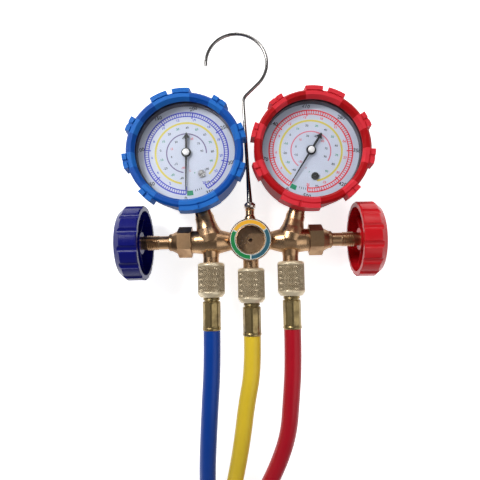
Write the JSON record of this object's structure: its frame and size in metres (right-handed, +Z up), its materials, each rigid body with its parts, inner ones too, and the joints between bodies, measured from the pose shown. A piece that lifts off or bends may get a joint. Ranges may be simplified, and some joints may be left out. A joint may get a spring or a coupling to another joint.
{
  "type": "refrigerant manifold gauge",
  "caption": "Refrigerant manifold gauge set: blue and red booted dial gauges on a brass valve manifold with sight glass, hand wheels, hanging hook and coiled charging hoses.",
  "frame": {"origin": "on the table under the middle of the set's footprint without its hoses", "axes": "+Z up, +Y from the hose ports towards the hanging hook, +X from the blue low side to the red high side"},
  "size_m": [0.2198, 0.5269, 0.05],
  "materials": {
    "brass": "turned, satin",
    "knurled_brass": "knurled, nickel-washed",
    "ferrule_brass": "crimped, dark",
    "sight_brass": "spun, satin",
    "sight_glass": "clear",
    "sight_label": "printed in colour sectors",
    "hook_wire": "bright wire",
    "hook_bead": "satin",
    "low_boot": "matt moulded",
    "high_boot": "matt moulded",
    "case_metal": "pressed",
    "crystal": "clear",
    "dial": "white, printed",
    "low_zero_screw": "slotted",
    "high_zero_screw": "slotted",
    "needle": "matt black",
    "low_knob": "moulded, glossy",
    "high_knob": "moulded, glossy",
    "knob_screw": "cross recess",
    "seat": "turned",
    "packing": "matt",
    "low_hose": "satin",
    "service_hose": "satin",
    "high_hose": "satin",
    "hose_coil": "satin"
  },
  "bodies": {
    "manifold": {"manifold_body": "brass", "hook_stud": "brass", "low_socket": "brass", "low_movement": "brass", "low_bourdon_tube": "brass", "low_packing_nut": "brass", "high_socket": "brass", "high_movement": "brass", "high_bourdon_tube": "brass", "high_packing_nut": "brass", "low_hose_ferrule": "ferrule_brass", "low_end_ferrule": "ferrule_brass", "service_hose_ferrule": "ferrule_brass", "service_end_ferrule": "ferrule_brass", "high_hose_ferrule": "ferrule_brass", "high_end_ferrule": "ferrule_brass", "sight_ring": "sight_brass", "sight_glass": "sight_glass", "sight_label": "sight_label", "low_boot": "low_boot", "low_case": "case_metal", "low_crystal": "crystal", "low_dial": "dial", "low_packing": "packing", "high_boot": "high_boot", "high_case": "case_metal", "high_crystal": "crystal", "high_dial": "dial", "high_packing": "packing", "hose_gaskets": "packing", "hose_coil": "hose_coil", "low_hose_tube": "low_hose", "service_hose_tube": "service_hose", "high_hose_tube": "high_hose"},
    "hook": {"hook": "hook_wire", "hook_bead": "hook_bead"},
    "low_needle": {"low_needle": "needle", "low_pinion": "brass"},
    "low_sector": {"low_sector": "brass"},
    "low_link": {"low_link": "brass"},
    "low_zero_screw": {"low_zero_screw": "low_zero_screw"},
    "low_seat": {"low_seat_disc": "seat"},
    "low_wheel": {"low_knob": "low_knob", "low_knob_screw": "knob_screw", "low_valve_stem": "brass"},
    "high_needle": {"high_needle": "needle", "high_pinion": "brass"},
    "high_sector": {"high_sector": "brass"},
    "high_link": {"high_link": "brass"},
    "high_zero_screw": {"high_zero_screw": "high_zero_screw"},
    "high_seat": {"high_seat_disc": "seat"},
    "high_wheel": {"high_knob": "high_knob", "high_knob_screw": "knob_screw", "high_valve_stem": "brass"},
    "low_hose_nut": {"low_hose_nut": "knurled_brass"},
    "low_end_nut": {"low_end_nut": "knurled_brass"},
    "service_hose_nut": {"service_hose_nut": "knurled_brass"},
    "service_end_nut": {"service_end_nut": "knurled_brass"},
    "high_hose_nut": {"high_hose_nut": "knurled_brass"},
    "high_end_nut": {"high_end_nut": "knurled_brass"}
  },
  "joints": [
    {"name": "hook_swivel", "type": "hinge", "parent": "manifold", "child": "hook", "pos_m": [0, -0.02067, 0.02314], "axis": [0, 0.9961, -0.0878], "continuous": true},
    {"name": "low_needle_turn", "type": "hinge", "parent": "manifold", "child": "low_needle", "pos_m": [-0.04102, 0.0162, 0.01989], "axis": [0, 0.0878, 0.9961], "range_deg": [-329, 20]},
    {"name": "low_sector_turn", "type": "hinge", "parent": "manifold", "child": "low_sector", "pos_m": [-0.03753, 0.00229, 0.02112], "axis": [0, 0.0878, 0.9961], "range_deg": [-2.9, 47.1]},
    {"name": "low_link_turn", "type": "hinge", "parent": "low_sector", "child": "low_link", "pos_m": [-0.02768, 0.00058, 0.02127], "axis": [0, 0.0878, 0.9961], "range_deg": [-47.1, 2.9]},
    {"name": "low_zero_turn", "type": "hinge", "parent": "manifold", "child": "low_zero_screw", "pos_m": [-0.03101, 0.00293, 0.02989], "axis": [0, 0.0878, 0.9961], "range_deg": [-90, 90]},
    {"name": "low_seat_lift", "type": "slide", "parent": "manifold", "child": "low_seat", "axis": [-1, 0, 0], "range_m": [0, 0.0038]},
    {"name": "low_valve_turn", "type": "hinge", "parent": "low_seat", "child": "low_wheel", "pos_m": [-0.07, -0.04179, 0.025], "axis": [-1, 0, 0], "range_deg": [0, 1080]},
    {"name": "high_needle_turn", "type": "hinge", "parent": "manifold", "child": "high_needle", "pos_m": [0.04102, 0.0162, 0.01989], "axis": [0, 0.0878, 0.9961], "range_deg": [-334, 0]},
    {"name": "high_sector_turn", "type": "hinge", "parent": "manifold", "child": "high_sector", "pos_m": [0.03753, 0.00229, 0.02112], "axis": [0, 0.0878, 0.9961], "range_deg": [0, 47.8]},
    {"name": "high_link_turn", "type": "hinge", "parent": "high_sector", "child": "high_link", "pos_m": [0.04543, -0.00383, 0.02166], "axis": [0, 0.0878, 0.9961], "range_deg": [-47.8, 0]},
    {"name": "high_zero_turn", "type": "hinge", "parent": "manifold", "child": "high_zero_screw", "pos_m": [0.04323, -0.0001, 0.03016], "axis": [0, 0.0878, 0.9961], "range_deg": [-90, 90]},
    {"name": "high_seat_lift", "type": "slide", "parent": "manifold", "child": "high_seat", "axis": [1, 0, 0], "range_m": [0, 0.0038]},
    {"name": "high_valve_turn", "type": "hinge", "parent": "high_seat", "child": "high_wheel", "pos_m": [0.07, -0.04179, 0.025], "axis": [1, 0, 0], "range_deg": [0, 1080]},
    {"name": "low_hose_nut_turn", "type": "hinge", "parent": "manifold", "child": "low_hose_nut", "pos_m": [-0.0265, -0.05573, 0.02623], "axis": [0, -0.9961, 0.0878], "continuous": true},
    {"name": "low_end_nut_turn", "type": "hinge", "parent": "manifold", "child": "low_end_nut", "pos_m": [0.0924, -0.4135, 0.0205], "axis": [1, 0, 0], "continuous": true},
    {"name": "service_hose_nut_turn", "type": "hinge", "parent": "manifold", "child": "service_hose_nut", "pos_m": [0, -0.05972, 0.02658], "axis": [0, -0.9961, 0.0878], "continuous": true},
    {"name": "service_end_nut_turn", "type": "hinge", "parent": "manifold", "child": "service_end_nut", "pos_m": [0.12451, -0.36503, 0.0205], "axis": [0.829, 0.5592, 0], "continuous": true},
    {"name": "high_hose_nut_turn", "type": "hinge", "parent": "manifold", "child": "high_hose_nut", "pos_m": [0.0265, -0.05573, 0.02623], "axis": [0, -0.9961, 0.0878], "continuous": true},
    {"name": "high_end_nut_turn", "type": "hinge", "parent": "manifold", "child": "high_end_nut", "pos_m": [0.11831, -0.30716, 0.0205], "axis": [0.309, 0.9511, 0], "continuous": true}
  ],
  "couplings": [
    {"joint": "low_sector_turn", "follows": "low_needle_turn", "ratio": -0.14286},
    {"joint": "low_link_turn", "follows": "low_needle_turn", "ratio": 0.14286},
    {"joint": "low_seat_lift", "follows": "low_valve_turn", "m_per_rad": 0.00019894},
    {"joint": "high_sector_turn", "follows": "high_needle_turn", "ratio": -0.14286},
    {"joint": "high_link_turn", "follows": "high_needle_turn", "ratio": 0.14286},
    {"joint": "high_seat_lift", "follows": "high_valve_turn", "m_per_rad": 0.00019894}
  ]
}
